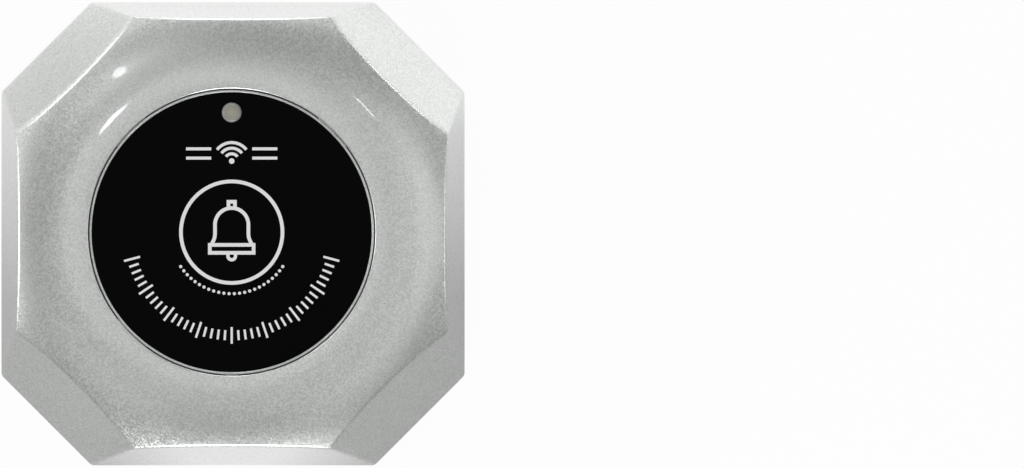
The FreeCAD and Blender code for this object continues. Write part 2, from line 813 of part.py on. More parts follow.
# ---- circuit board and what stands on it ----

def circuit_board():
    """Round board with three screw holes, two slots for the light's wires and four switch pin holes."""
    board = doc.addObject("PartDesign::Body", "circuit_board")
    disc = sketch(board, "board_outline", "XY_Plane", lift="board_height")
    circle(disc, "board_radius")
    for side in (-1, 1):
        circle(disc, "lead_width / sqrt(2) + lead_fit", f"{side} * led_pitch / 2", "led_offset")
    pad(board, "board_disc", disc, "board_thickness")
    drill = sketch(board, "board_screw_outline", "XY_Plane", lift="board_top")
    x, y = around("board_screw_circle", POST_ANGLES[0])
    circle(drill, "board_screw_radius + head_fit", x, y)
    hole = pocket(board, "board_screw_hole", drill, "board_thickness")
    polar(board, "board_screw_holes", hole, len(POST_ANGLES))
    keep(board, "circuit_board")


def switch_housing():
    """Square black switch body, hollow round the stem's foot and the contact dome."""
    body = box("switch_block", "switch_width", "switch_width", "board_top", "switch_top - switch_plate")
    room = cylinder("switch_room", "stem_radius + stem_foot + 2 * stem_fit",
                    "board_top + switch_floor", "switch_top - switch_plate")
    keep(cut("switch_body", body, room), "switch_housing")


def switch_plate():
    """Steel plate that closes the switch and lets the stem through."""
    plate = box("switch_lid", "switch_width", "switch_width", "switch_top - switch_plate", "switch_top")
    hole = cylinder("switch_lid_hole", "stem_radius + stem_fit", "switch_top - switch_plate", "switch_top")
    keep(cut("switch_lid_drilled", plate, hole), "switch_cover_plate")


def switch_stem():
    """Round stem of the switch, kept in by a wider foot."""
    foot_top = "switch_top - switch_plate - stem_fit"
    foot_bottom = "switch_top - switch_plate - stem_fit - stem_foot_height"
    foot_radius = "stem_radius + stem_foot"
    keep(turned("switch_stem", [
        ("0", foot_bottom), (foot_radius, foot_bottom), (foot_radius, foot_top),
        ("stem_radius", foot_top), ("stem_radius", "stem_top"), ("0", "stem_top"),
    ]), "switch_stem")


def switch_dome():
    """Snap dome of thin spring steel under the stem, as a shallow cone with a flat crown."""
    low = "board_top + switch_floor"
    outer = "stem_radius + stem_foot"
    keep(turned("switch_dome", [
        (outer, low), (outer, f"{low} + dome_thickness"),
        ("stem_radius / 2", f"{low} + dome_thickness + button_travel"),
        ("0", f"{low} + dome_thickness + button_travel"), ("0", f"{low} + button_travel"),
        ("stem_radius / 2 - dome_thickness / 2", f"{low} + button_travel"), (f"{outer} - dome_thickness", low),
    ]), "switch_dome")


def switch_legs():
    """Four flat tinned legs of the switch, lying on the board."""
    legs = []
    for side in (-1, 1):
        for end in (-1, 1):
            legs.append(box(f"leg_{side + 1}{end + 1}", "switch_leg_length", "switch_leg_width",
                            "board_top", "board_top + contact_thickness",
                            f"{side} * (switch_width + switch_leg_length) / 2", f"{end} * switch_leg_pitch / 2"))
    keep(group("legs", legs), "switch_legs")


def radio_chip():
    """Flat moulded transmitter chip."""
    keep(box("chip", "chip_width", "chip_length", "board_top + chip_lift", "board_top + chip_height",
             "-chip_offset", "-chip_length / 2"), "radio_chip")


def chip_legs():
    """Eight tinned legs, four along each long side of the chip."""
    legs = []
    for side in (-1, 1):
        for number, step in enumerate(FOUR_IN_A_ROW):
            legs.append(box(f"chip_leg_{side + 1}{number}", "chip_leg_length", "chip_leg_width",
                            "board_top", "board_top + chip_leg_height",
                            f"-chip_offset + {side} * (chip_width + chip_leg_length) / 2",
                            f"-chip_length / 2 + {step} * chip_pitch"))
    keep(group("chip_leg_row", legs), "chip_legs")


def crystal_can():
    """Pressed metal can of the crystal."""
    keep(box("crystal", "crystal_length", "crystal_width", "board_top", "board_top + crystal_height",
             "-chip_offset", "crystal_offset - crystal_width / 2"), "crystal_can")


def antenna_coil():
    """Copper wire antenna, wound as a lying coil whose ends meet the board."""
    wound = coil("antenna", "coil_radius", "coil_wire", "coil_pitch", "coil_turns")
    lying = FreeCAD.Rotation(FreeCAD.Vector(1, 0, 0), -90)
    ends_down = FreeCAD.Rotation(FreeCAD.Vector(0, 1, 0), 90)
    wound.Placement = FreeCAD.Placement(FreeCAD.Vector(0, 0, 0), ends_down * lying)
    place(wound, "coil_offset", "-coil_turns * coil_pitch / 2 - coil_shift",
          "board_top + coil_radius + coil_wire + touch_gap")
    keep(wound, "antenna_coil")


def small_parts(node, height, row):
    """A row of four small surface-mounted parts of one kind."""
    parts = [box(f"{node}_{number}", "small_part_width", "small_part_length", "board_top",
                 f"board_top + {height}", f"{step} * small_part_pitch", f"-{row}")
             for number, step in enumerate(FOUR_IN_A_ROW)]
    keep(group(node + "_row", parts), node)


# ---- battery and its door ----

def battery_cell():
    """Coin cell with its wider can below and its smaller pole above."""
    pole = "cell_radius - cell_step_width"
    keep(turned("battery_cell", [
        ("0", "cell_bottom"), ("cell_radius", "cell_bottom"), ("cell_radius", "cell_top - cell_step"),
        (pole, "cell_top - cell_step"), (pole, "cell_top"), ("0", "cell_top"),
    ]), "battery_cell")


def strip(node, corners):
    """A bent contact strip: its edge outline, raised to both sides of the XZ plane."""
    body = doc.addObject("PartDesign::Body", node)
    section = sketch(body, node + "_edge", "XZ_Plane")
    outline(section, corners)
    raised = pad(body, node + "_strip", section, "contact_width")
    raised.Midplane = True
    keep(body, node)


def positive_contact():
    """Upright strip that touches the cell's rim and is soldered under the board."""
    near = "cell_radius + touch_gap"
    strip("positive_contact", [
        (near, "cell_bottom + cell_thickness / 3"),
        (f"{near} + contact_thickness", "cell_bottom + cell_thickness / 3"),
        (f"{near} + contact_thickness", "board_height - contact_thickness"),
        (f"{near} + contact_foot", "board_height - contact_thickness"),
        (f"{near} + contact_foot", "board_height"),
        (near, "board_height"),
    ])


def negative_contact():
    """Sprung finger under the board that leans down to the cell's smaller pole."""
    tip = "cell_top + touch_gap"
    strip("negative_contact", [
        ("-finger_length", "board_height"),
        ("-finger_length", "board_height - contact_thickness"),
        ("-finger_length / 2", "board_height - contact_thickness"),
        ("0", tip),
        ("finger_tip", tip),
        ("finger_tip", f"{tip} + contact_thickness"),
        ("contact_thickness / 2", f"{tip} + contact_thickness"),
        ("contact_thickness / 2 - finger_length / 2", "board_height"),
    ])


def battery_door():
    """Round door with a coin slot below and two bayonet lugs that lock over the base's ledges."""
    disc = cylinder("door_disc", "door_radius", "table_gap", "door_top")
    lugs = common("door_lugs",
                  cylinder("lug_round", "door_radius + lug_reach", "door_top - lug_height", "door_top"),
                  box("lug_bar", "2 * (door_radius + lug_reach)", "lug_width",
                      "door_top - lug_height", "door_top"))
    slot = box("door_coin_slot", "coin_slot_length", "coin_slot_width", "table_gap",
               "table_gap + coin_slot_depth")
    keep(cut("door_slotted", fuse("door_blank", disc, lugs), slot), "battery_door")


def door_seal():
    """Rubber ring that sits between the door and the well's step."""
    ring = doc.addObject("Part::Torus", "seal_ring")
    bind(ring, Radius1="(well_bore + door_radius + door_fit) / 2", Radius2="seal_radius")
    place(ring, "0", "0", "door_top + seal_radius + door_headroom / 4")
    keep(ring, "door_seal")


def check_model():
    """Stops the script if any object failed, or any sub-part has no valid solid."""
    for item in doc.Objects:
        if "Invalid" in item.State or "Error" in item.State:
            raise RuntimeError(f"{item.Name} failed: {item.State}")
    for item in subparts:
        shape = item.Shape
        if shape.isNull() or not shape.isValid() or not shape.Solids:
            raise RuntimeError(f"{item.Label} has no valid solid")


fill_sheet()
upper_cover()
base_cover()
case_gasket()
rubber_feet()
housing_screws()
board_screws()
button_cap()
face_label()
label_print()
return_spring()
indicator_led()
led_leads()
led_spacer()
circuit_board()
switch_housing()
switch_plate()
switch_stem()
switch_dome()
switch_legs()
radio_chip()
chip_legs()
crystal_can()
antenna_coil()
small_parts("chip_resistors", "resistor_height", "resistor_row")
small_parts("chip_capacitors", "capacitor_height", "capacitor_row")
battery_cell()
positive_contact()
negative_contact()
battery_door()
door_seal()
doc.recompute()
check_model()
os.makedirs("parts", exist_ok=True)
for item in subparts:
    item.Shape.exportStep(f"parts/{item.Label}.step")
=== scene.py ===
import bpy
import numpy as np
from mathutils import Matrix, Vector


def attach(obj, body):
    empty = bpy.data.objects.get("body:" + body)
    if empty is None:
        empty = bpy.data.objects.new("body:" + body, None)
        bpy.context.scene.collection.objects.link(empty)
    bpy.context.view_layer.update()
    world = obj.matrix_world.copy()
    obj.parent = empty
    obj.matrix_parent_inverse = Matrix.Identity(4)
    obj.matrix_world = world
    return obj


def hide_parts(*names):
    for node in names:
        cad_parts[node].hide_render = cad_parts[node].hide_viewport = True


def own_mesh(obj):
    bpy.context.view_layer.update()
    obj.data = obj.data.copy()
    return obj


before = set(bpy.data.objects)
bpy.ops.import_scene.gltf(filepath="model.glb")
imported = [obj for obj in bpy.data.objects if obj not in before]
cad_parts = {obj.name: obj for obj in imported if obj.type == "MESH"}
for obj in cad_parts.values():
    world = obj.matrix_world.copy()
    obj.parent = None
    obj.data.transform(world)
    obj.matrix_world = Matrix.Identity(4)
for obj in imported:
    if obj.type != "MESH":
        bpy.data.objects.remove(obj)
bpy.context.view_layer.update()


# ---- Base plate with its battery well ----
# Moulded in black ABS: an eight-sided tray floor with a round well, board posts and screw holes.
# It drops into the case top and is held by four screws. The moulding tool leaves a fine spark grain.

class Value:
    """A number or colour inside a material. Arithmetic on it adds Math nodes."""

    def __init__(self, finish, socket):
        self.finish = finish
        self.socket = socket

    def _math(self, operation, first, second):
        return self.finish.node("ShaderNodeMath", {"operation": operation}, {0: first, 1: second})

    def __add__(self, other):
        return self._math("ADD", self, other)

    def __radd__(self, other):
        return self._math("ADD", other, self)

    def __mul__(self, other):
        return self._math("MULTIPLY", self, other)

    def __rmul__(self, other):
        return self._math("MULTIPLY", other, self)


class Finish:
    """A material. Its constants go straight on the Principled shader, and paint links its patterns."""

    def __init__(self, name, **constants):
        self.material = bpy.data.materials.new(name)
        self.material.use_nodes = True
        self.tree = self.material.node_tree
        self.shader = next(node for node in self.tree.nodes if node.type == "BSDF_PRINCIPLED")
        for word, value in constants.items():
            self.shader.inputs[word.replace("_", " ")].default_value = value

    def node(self, kind, settings=None, sockets=None, out=0):
        """Adds one node with its settings and the value or link of each socket. Gives one output."""
        made = self.tree.nodes.new(kind)
        for word, value in (settings or {}).items():
            setattr(made, word, value)
        for word, value in (sockets or {}).items():
            if isinstance(value, Value):
                self.tree.links.new(value.socket, made.inputs[word])
            else:
                made.inputs[word].default_value = value
        return Value(self, made.outputs[out])

    def paint(self, **links):
        """Links patterns to the shader's own sockets."""
        for word, value in links.items():
            self.tree.links.new(value.socket, self.shader.inputs[word.replace("_", " ")])
        return self

    def place(self):
        """Object coordinates, which are metres on the part."""
        return self.node("ShaderNodeTexCoord", out="Object")

    def noise(self, scale, detail=2.0, stretch=None):
        """Cloudy noise from 0 to 1, with the given number of waves to a metre."""
        where = self.place()
        if stretch:
            where = self.node("ShaderNodeMapping", {}, {"Vector": where, "Scale": stretch})
        return self.node("ShaderNodeTexNoise", {}, {"Vector": where, "Scale": scale, "Detail": detail})

    def blend(self, amount, first, second):
        """A colour between two, each a plain colour or one already blended."""
        first, second = (ink if isinstance(ink, Value) else (*ink, 1.0) for ink in (first, second))
        return self.node("ShaderNodeMix", {"data_type": "RGBA"}, {0: amount, 6: first, 7: second}, out=2)

    def ramp(self, value, low, high, first, second):
        """A value carried from the span low to high over to the span first to second, and held there."""
        return self.node("ShaderNodeMapRange", {}, {"Value": value, "From Min": low, "From Max": high,
                                                    "To Min": first, "To Max": second})

    def relief(self, height, depth):
        """A surface normal tilted by a height pattern whose full depth is in metres."""
        return self.node("ShaderNodeBump", {}, {"Height": height, "Distance": depth})


def moulded(name, dark, light, grain, depth, **constants):
    """Spark-eroded plastic: a fine noise gives the grain's height and its gloss, and a slow one clouds
    the colour."""
    plastic = Finish(name, **constants)
    coarse = plastic.noise(grain, 3.0)
    cloud = plastic.noise(grain / 25, 2.0)
    gloss = constants.get("Roughness", 0.5)
    return plastic.paint(
        Base_Color=plastic.blend(cloud, dark, light),
        Roughness=gloss - 0.06 + 0.12 * coarse,
        Normal=plastic.relief(coarse, depth))


def dress(finish, *nodes):
    """Puts a finish on CAD sub-parts as they are."""
    for node in nodes:
        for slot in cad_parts[node].material_slots:
            slot.material = finish.material


BLACK_ABS = moulded("black_abs", (0.014, 0.014, 0.015), (0.024, 0.024, 0.026), 2600, 0.00004,
                    Roughness=0.52)
dress(BLACK_ABS, "base_cover")


# ---- Battery cell and its contacts ----
# A coin cell in a stamped nickel-plated can, its smaller pole upward under a sprung steel finger.
# A second strip bears on the can's rim. Both strips are soldered under the board.

def metal(name, dark, light, grain, stretch=None, **constants):
    """Bare metal: fine noise, drawn out one way where stretched, sets its colour and relief, and a
    slower one its gloss."""
    bare = Finish(name, Metallic=1.0, **constants)
    fine = bare.noise(grain, 3.0, stretch)
    gloss = constants.get("Roughness", 0.3)
    return bare.paint(
        Base_Color=bare.blend(fine, dark, light),
        Roughness=gloss - 0.08 + 0.16 * bare.noise(grain / 8, 2.0),
        Normal=bare.relief(fine, 0.000012))


CELL_STEEL = metal("cell_steel", (0.52, 0.52, 0.51), (0.68, 0.68, 0.66), 1500, (1.0, 0.08, 1.0),
                   Roughness=0.3)
dress(CELL_STEEL, "battery_cell")
SPRING_STEEL = metal("spring_steel", (0.42, 0.42, 0.41), (0.6, 0.6, 0.58), 2500, (1.0, 0.1, 1.0),
                     Roughness=0.28)
dress(SPRING_STEEL, "positive_contact", "negative_contact")


# ---- Circuit board ----
# Round green laminate, screwed to the base's posts. Copper tracks show as slightly lighter, raised lines
# under the solder mask.

def laminate():
    """Solder mask over copper: a brick pattern's joints are the tracks, and noise mottles the mask."""
    mask = Finish("board_laminate", Roughness=0.35, Coat_Weight=0.4, Coat_Roughness=0.15)
    where = mask.node("ShaderNodeMapping", {}, {"Vector": mask.place(), "Scale": (1000.0, 1000.0, 0.0)})
    track = mask.node("ShaderNodeTexBrick", {"offset": 0.37, "squash": 1.6},
                      {"Vector": where, "Scale": 1.0, "Mortar Size": 0.12, "Mortar Smooth": 0.3,
                       "Brick Width": 2.9, "Row Height": 1.15}, out="Fac")
    mottle = mask.noise(900, 3.0)
    return mask.paint(
        Base_Color=mask.blend(track * 0.6 + mottle * 0.3, (0.008, 0.06, 0.022), (0.03, 0.17, 0.06)),
        Roughness=0.28 + 0.14 * mottle,
        Normal=mask.relief(track, 0.00004))


dress(laminate(), "circuit_board")


# ---- Small electronic parts ----
# Moulded transmitter chip and its tinned legs, pressed crystal can, ceramic chip parts, wound copper
# antenna, and the tactile switch with its spring dome. All are soldered flat on the board.

MOULDED_CHIP = moulded("moulded_chip", (0.012, 0.012, 0.013), (0.03, 0.03, 0.03), 6000, 0.00002,
                       Roughness=0.6)
dress(MOULDED_CHIP, "radio_chip", "switch_housing")
TINNED = metal("tinned_metal", (0.55, 0.55, 0.54), (0.78, 0.78, 0.76), 3500, Roughness=0.3)
dress(TINNED, "chip_legs", "switch_legs", "crystal_can", "led_leads")
dress(SPRING_STEEL, "switch_dome", "switch_cover_plate")
COPPER = metal("copper_wire", (0.5, 0.16, 0.07), (0.72, 0.27, 0.13), 3000, Roughness=0.25)
dress(COPPER, "antenna_coil")
dress(moulded("resistor_ceramic", (0.02, 0.02, 0.024), (0.045, 0.045, 0.05), 5000, 0.00001, Roughness=0.4),
      "chip_resistors")
dress(moulded("capacitor_ceramic", (0.3, 0.21, 0.12), (0.4, 0.28, 0.17), 5000, 0.00001, Roughness=0.45),
      "chip_capacitors")
dress(moulded("switch_nylon", (0.02, 0.02, 0.02), (0.035, 0.035, 0.035), 4000, 0.00002, Roughness=0.45),
      "switch_stem")
NYLON = moulded("white_nylon", (0.62, 0.61, 0.57), (0.74, 0.73, 0.69), 3000, 0.00002, Roughness=0.42)
dress(NYLON, "led_spacer")


# ---- Return spring ----
# Round spring-steel wire, cold wound in four turns, standing on the board round the switch.
# The button presses on its top turn.

SPRING_RADIUS = 6.4
SPRING_WIRE = 0.3
SPRING_TURNS = 4
SPRING_FOOT = 9.95
SPRING_PITCH = 1.775
MM = 0.001


def solid(name, grids, finish, body, node=None, crease=30):
    """One closed mesh from grids of points in millimetres. A grid is (points, rows joined, columns joined):
    an edge that isn't joined is closed by a fan about its middle. Each grid is turned to face outward."""
    points = []
    faces = []
    count = 0
    for grid, rows_joined, columns_joined in grids:
        rows, columns = grid.shape[:2]
        index = np.arange(rows * columns).reshape(rows, columns)
        if rows_joined:
            index = np.vstack([index, index[:1]])
        if columns_joined:
            index = np.hstack([index, index[:, :1]])
        quads = np.stack([index[:-1, :-1], index[:-1, 1:], index[1:, 1:], index[1:, :-1]], axis=-1)
        quads = quads.reshape(-1, 4)
        spots = [grid.reshape(-1, 3)]
        triangles = []
        ends = []
        if not rows_joined:
            ends += [index[0, ::-1], index[-1]]
        if not columns_joined:
            ends += [index[:, 0], index[::-1, -1]]
        for number, rim in enumerate(ends):
            middle = rows * columns + number
            ring = rim if rows_joined or columns_joined else np.append(rim, rim[0])
            spots.append(grid.reshape(-1, 3)[rim].mean(axis=0, keepdims=True))
            triangles.append(np.stack([ring[:-1], ring[1:], np.full(len(ring) - 1, middle)], axis=-1))
        place = np.concatenate(spots)
        parts = [quads[:, [0, 1, 2]], quads[:, [0, 2, 3]]] + triangles
        corners = place[np.concatenate(parts)]
        volume = np.einsum("ij,ij->", corners[:, 0], np.cross(corners[:, 1], corners[:, 2]))
        turn = -1 if volume < 0 else 1
        faces += (quads[:, ::turn] + count).tolist()
        for fan in triangles:
            faces += (fan[:, ::turn] + count).tolist()
        points.append(place)
        count += len(place)
    mesh = bpy.data.meshes.new(name)
    mesh.from_pydata((np.concatenate(points) * MM).tolist(), [], faces)
    mesh.update()
    mesh.shade_smooth()
    mesh.set_sharp_from_angle(angle=np.radians(crease))
    mesh.materials.append(finish.material)
    piece = bpy.data.objects.new(name, mesh)
    bpy.context.scene.collection.objects.link(piece)
    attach(piece, body)
    if node:
        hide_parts(node)
    return piece


def wound_wire():
    """Helix of (R cos t, R sin t, foot + pitch t / 2 pi), with a round section across it at every step."""
    t = np.linspace(0, 2 * np.pi * SPRING_TURNS, 72 * SPRING_TURNS)
    around = np.linspace(0, 2 * np.pi, 14, endpoint=False)
    line = np.stack([SPRING_RADIUS * np.cos(t), SPRING_RADIUS * np.sin(t),
                     SPRING_FOOT + SPRING_PITCH * t / (2 * np.pi)], axis=-1)
    out = np.stack([np.cos(t), np.sin(t), np.zeros_like(t)], axis=-1)
    along = np.stack([-SPRING_RADIUS * np.sin(t), SPRING_RADIUS * np.cos(t),
                      np.full_like(t, SPRING_PITCH / (2 * np.pi))], axis=-1)
    along /= np.linalg.norm(along, axis=1, keepdims=True)
    up = np.cross(out, along)
    ring = out[:, None] * np.cos(around)[None, :, None] + up[:, None] * np.sin(around)[None, :, None]
    return line[:, None] + SPRING_WIRE * ring


spring = solid("return_spring_wire", [(wound_wire(), False, True)], SPRING_STEEL, "housing",
               "return_spring")
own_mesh(spring)


# ---- Gasket, door seal, screws and feet ----
# Die-cut silicone between the base's edge and the case, a moulded rubber ring under the door, plated
# steel screws, and four soft black feet stuck over the screw heads.

dress(moulded("grey_silicone", (0.2, 0.2, 0.2), (0.27, 0.27, 0.27), 1800, 0.00002, Roughness=0.6),
      "case_gasket")
BLACK_RUBBER = moulded("black_rubber", (0.012, 0.012, 0.012), (0.022, 0.022, 0.021), 1400, 0.00005,
                       Roughness=0.7)
dress(BLACK_RUBBER, "door_seal")
dress(metal("screw_steel", (0.32, 0.32, 0.32), (0.5, 0.5, 0.49), 2200, Roughness=0.32),
      "housing_screws", "board_screws")

FOOT_CIRCLE = 28.3
FOOT_RADIUS = 4.0
FOOT_TOP = 1.3
FOOT_ROUND = 0.35
FOOT_FLAT = 0.6
CORNER_PLACES = (45, 135, 225, 315)


def lathe(profile, columns=96, x=0.0, y=0.0):
    """Profile of radii and levels carried round an upright axis at x and y."""
    radius, level = np.array(profile, float).T
    around = np.linspace(0, 2 * np.pi, columns, endpoint=False)
    return np.stack([x + radius[:, None] * np.cos(around), y + radius[:, None] * np.sin(around),
                     np.repeat(level[:, None], columns, axis=1)], axis=-1)


def corner_arc(radius, centre_r, centre_z, start, end, steps=6):
    """Points of a quarter round in a profile, from one angle to another in degrees."""
    angle = np.radians(np.linspace(start, end, steps))
    return [(centre_r + radius * np.cos(a), centre_z + radius * np.sin(a)) for a in angle]


foot_profile = ([(0.02, 0.0), (FOOT_RADIUS - FOOT_FLAT, 0.0)]
                + corner_arc(FOOT_ROUND, FOOT_RADIUS - FOOT_ROUND, FOOT_ROUND, 270, 360)
                + [(FOOT_RADIUS, FOOT_TOP), (0.02, FOOT_TOP)])
foot_grids = [(lathe(foot_profile, 64, FOOT_CIRCLE * np.cos(a), FOOT_CIRCLE * np.sin(a)), False, True)
              for a in np.radians(CORNER_PLACES)]
solid("soft_feet", foot_grids, BLACK_RUBBER, "housing", "rubber_feet")


# ---- Battery door ----
# Moulded black ABS disc with two bayonet lugs and a coin slot with round ends. Its lower edge is chamfered
# so that it drops in easily, and a raised spot on it points to the open or the shut mark on the base.

DOOR_RADIUS = 11.85
DOOR_TOP = 2.4
DOOR_FACE = 0.8
SLOT_HALF = 7.0
SLOT_RADIUS = 0.9
SLOT_FLOOR = 1.7
LUG_ROOT = 0.5
LUG_REACH = 13.2
LUG_THICK = 0.7
LUG_WIDTH = 22.6
DOOR_SPOT_CIRCLE = 9.6


def block(inner, outer, low, high):
    """Four corners of a plain profile."""
    return [(inner, low), (outer, low), (outer, high), (inner, high)]


def sector(profile, middle, width, steps=9):
    """Grid for solid: a profile of radii and levels carried over an arc, with two flat ends."""
    radius, level = np.array(profile, float).T
    turn = np.radians(np.linspace(middle - width / 2, middle + width / 2, steps))
    return (np.stack([radius[:, None] * np.cos(turn), radius[:, None] * np.sin(turn),
                      np.repeat(level[:, None], steps, axis=1)], axis=-1), True, False)


def slot_outline(columns):
    """Points evenly spaced along a bar with round ends: two straight runs and two half circles."""
    run = SLOT_HALF - SLOT_RADIUS
    length = 4 * run + 2 * np.pi * SLOT_RADIUS
    way = np.linspace(0, length, columns, endpoint=False)
    bends = np.pi * SLOT_RADIUS
    turn = (np.clip(way, 0, bends / 2) + np.clip(way - bends / 2 - 2 * run, 0, bends)
            + np.clip(way - 1.5 * bends - 4 * run, 0, bends / 2)) / SLOT_RADIUS
    middle = run - np.clip(way - bends / 2, 0, 2 * run) + np.clip(way - 1.5 * bends - 2 * run, 0, 2 * run)
    return np.column_stack([middle + SLOT_RADIUS * np.cos(turn), SLOT_RADIUS * np.sin(turn)])


def slotted_disc(columns=240):
    """Rows from the slot's floor out over the lower face and round the rim to the upper face. A row is a
    mixture of the slot's outline and a circle, each with its points evenly spaced."""
    around = np.linspace(0, 2 * np.pi, columns, endpoint=False)
    circle = np.column_stack([np.cos(around), np.sin(around)])
    slot = slot_outline(columns)
    rows = [(0.02 * slot, SLOT_FLOOR), (slot * 0.97, SLOT_FLOOR), (slot, SLOT_FLOOR - 0.05),
            (slot, DOOR_FACE + 0.12), (slot + 0.05 * circle, DOOR_FACE + 0.03),
            (slot + 0.13 * circle, DOOR_FACE)]
    rows += [((DOOR_RADIUS - inset) * circle, level)
             for inset, level in ((0.35, DOOR_FACE), (0.28, DOOR_FACE + 0.03), (0.0, DOOR_FACE + 0.3),
                                  (0.0, DOOR_TOP), (11.8, DOOR_TOP))]
    return np.stack([np.column_stack([row, np.full(columns, level)]) for row, level in rows])


def spot(radius, x, y, low, high):
    """A low moulded spot whose rim is rounded."""
    return (lathe([(0.01, high), (radius, high), (radius, low + 0.06), (radius - 0.02, low + 0.02),
                   (radius - 0.06, low), (0.01, low)], 32, x, y), False, True)


lug = block(DOOR_RADIUS - LUG_ROOT, LUG_REACH, DOOR_TOP - LUG_THICK, DOOR_TOP)
door_grids = [(slotted_disc(), False, True), sector(lug, 0, LUG_WIDTH), sector(lug, 180, LUG_WIDTH),
              spot(0.55, 0.0, -DOOR_SPOT_CIRCLE, DOOR_FACE - 0.18, DOOR_FACE + 0.1)]
solid("door_disc", door_grids, BLACK_ABS, "door", "battery_door")

# The two marks are moulded on the base: a spot where the door is shut, and a ring where it is open.
MARK_CIRCLE = 16.2
MARK_RADIUS = 0.75
MARK_RING_HOLE = 0.5
MARK_ROOT = DOOR_FACE + 0.1
MARK_FACE = DOOR_FACE - 0.15
MARK_BEVEL = 0.03
SHUT_TURN = np.radians(270)
OPEN_TURN = np.radians(210)
open_ring = lathe([(MARK_RING_HOLE, MARK_ROOT), (MARK_RADIUS, MARK_ROOT),
                   (MARK_RADIUS, MARK_FACE + MARK_BEVEL), (MARK_RADIUS - MARK_BEVEL, MARK_FACE),
                   (MARK_RING_HOLE + MARK_BEVEL, MARK_FACE),
                   (MARK_RING_HOLE, MARK_FACE + MARK_BEVEL)],
                  40, MARK_CIRCLE * np.cos(OPEN_TURN), MARK_CIRCLE * np.sin(OPEN_TURN))
shut_spot = spot(MARK_RADIUS, MARK_CIRCLE * np.cos(SHUT_TURN), MARK_CIRCLE * np.sin(SHUT_TURN),
                 MARK_FACE, MARK_ROOT)
solid("base_marks", [shut_spot, (open_ring, True, True)], BLACK_ABS, "housing")


# ---- Indicator light ----
# Cast milky epoxy on its two leads: a flange, a round barrel and a domed end that stands just proud of
# the label. Light spreads a little inside it.

LED_OFFSET = 18.1
LED_RADIUS = 1.5
LED_FLANGE = 1.9
LED_FLANGE_THICK = 1.0
LED_BOTTOM = 14.542
LED_TOP = 19.842
LED_CORNER = 0.6
LED_TURN = 75
CUP_FLAT = 0.2
CUP_EDGE = 0.9
# Painted shade on the lens edge: where its greying starts and where it is full.
EDGE_SHADE_START = 1.05
EDGE_SHADE_END = 1.3


def milky_epoxy():
    """Clouded resin: a slow noise varies its tint, and a fine one its gloss. The cup round the chip shows
    through as a warmer middle, and a painted shade greys the thin rounded edge."""
    resin = Finish("milky_epoxy", Roughness=0.22, Coat_Weight=0.15, Coat_Roughness=0.3,
                   Subsurface_Weight=0.25, Subsurface_Radius=(0.4, 0.35, 0.25), Subsurface_Scale=0.002)
    off_axis = resin.node("ShaderNodeVectorMath", {"operation": "DISTANCE"},
                          {0: resin.place(), 1: (0.0, LED_OFFSET * MM, LED_TOP * MM)}, out="Value")
    middle = resin.ramp(off_axis, CUP_FLAT * MM, CUP_EDGE * MM, 0.8, 0.0)
    # Painted shade: a ring at the lens's rounded edge is greyed in colour.
    edge = resin.ramp(off_axis, EDGE_SHADE_START * MM, EDGE_SHADE_END * MM, 0.0, 1.0)
    body = resin.blend(resin.noise(450, 2.0), (0.25, 0.245, 0.2), (0.47, 0.455, 0.37))
    body = resin.blend(middle, body, (0.43, 0.39, 0.33))
    return resin.paint(
        Base_Color=resin.blend(edge, body, (0.32, 0.32, 0.305)),
        Roughness=0.3 + 0.1 * resin.noise(3000, 2.0))


led_inner = LED_RADIUS - LED_CORNER
led_crown = led_inner / np.cos(np.radians(LED_TURN)) + LED_CORNER
shoulder = LED_TOP - led_crown + led_inner * np.tan(np.radians(LED_TURN))
led_profile = ([(0.05, LED_BOTTOM), (LED_FLANGE, LED_BOTTOM), (LED_FLANGE, LED_BOTTOM + LED_FLANGE_THICK),
                (LED_RADIUS, LED_BOTTOM + LED_FLANGE_THICK), (LED_RADIUS, shoulder - 0.5)]
               + corner_arc(LED_CORNER, led_inner, shoulder, 0, LED_TURN, 12)
               + corner_arc(led_crown, 0.0, LED_TOP - led_crown, LED_TURN + 1, 89.0, 12))
solid("indicator_lens", [(lathe(led_profile, 96, 0.0, LED_OFFSET), False, True)], milky_epoxy(),
      "housing", "indicator_led")


# ---- Case top ----
# Moulded ABS in sprayed silver metallic paint: a square with cut corners whose sides lean inward, under a
# softly crowned top that falls away from the round button hole. Every outer edge is rounded.

TABLE_GAP = 0.8
SKIRT_TOP = 3.6
FLAT_HALF = 35.0
CORNER_CUT = 13.6
CORNER_HALF = (2 * FLAT_HALF - CORNER_CUT) / np.sqrt(2)
SIDE_DRAFT = np.radians(10.5)
CORNER_DRAFT = np.radians(26.8)
CREST_CIRCLE = 23.3
CROWN_ROUND = 22.0
CROWN_CENTRE = -2.4
HOLE_RADIUS = 21.7
EDGE_ROUND = 0.3
LIP_ROUND = 0.25
CASE_WALL = 2.0
COLLAR_RADIUS = 23.2
COLLAR_BOTTOM = 13.942
STEPS_PER_SIDE = 44
BOSS_RADIUS = 2.6
BOSS_BORE = 1.12
BOSS_BOTTOM = 3.22
BOSS_TOP = 18.0
BOSS_SCREW_END = 10.7
SEAT_TOP = 4.8
SEAT_OUTER = 1.0
SEAT_INNER = 3.8


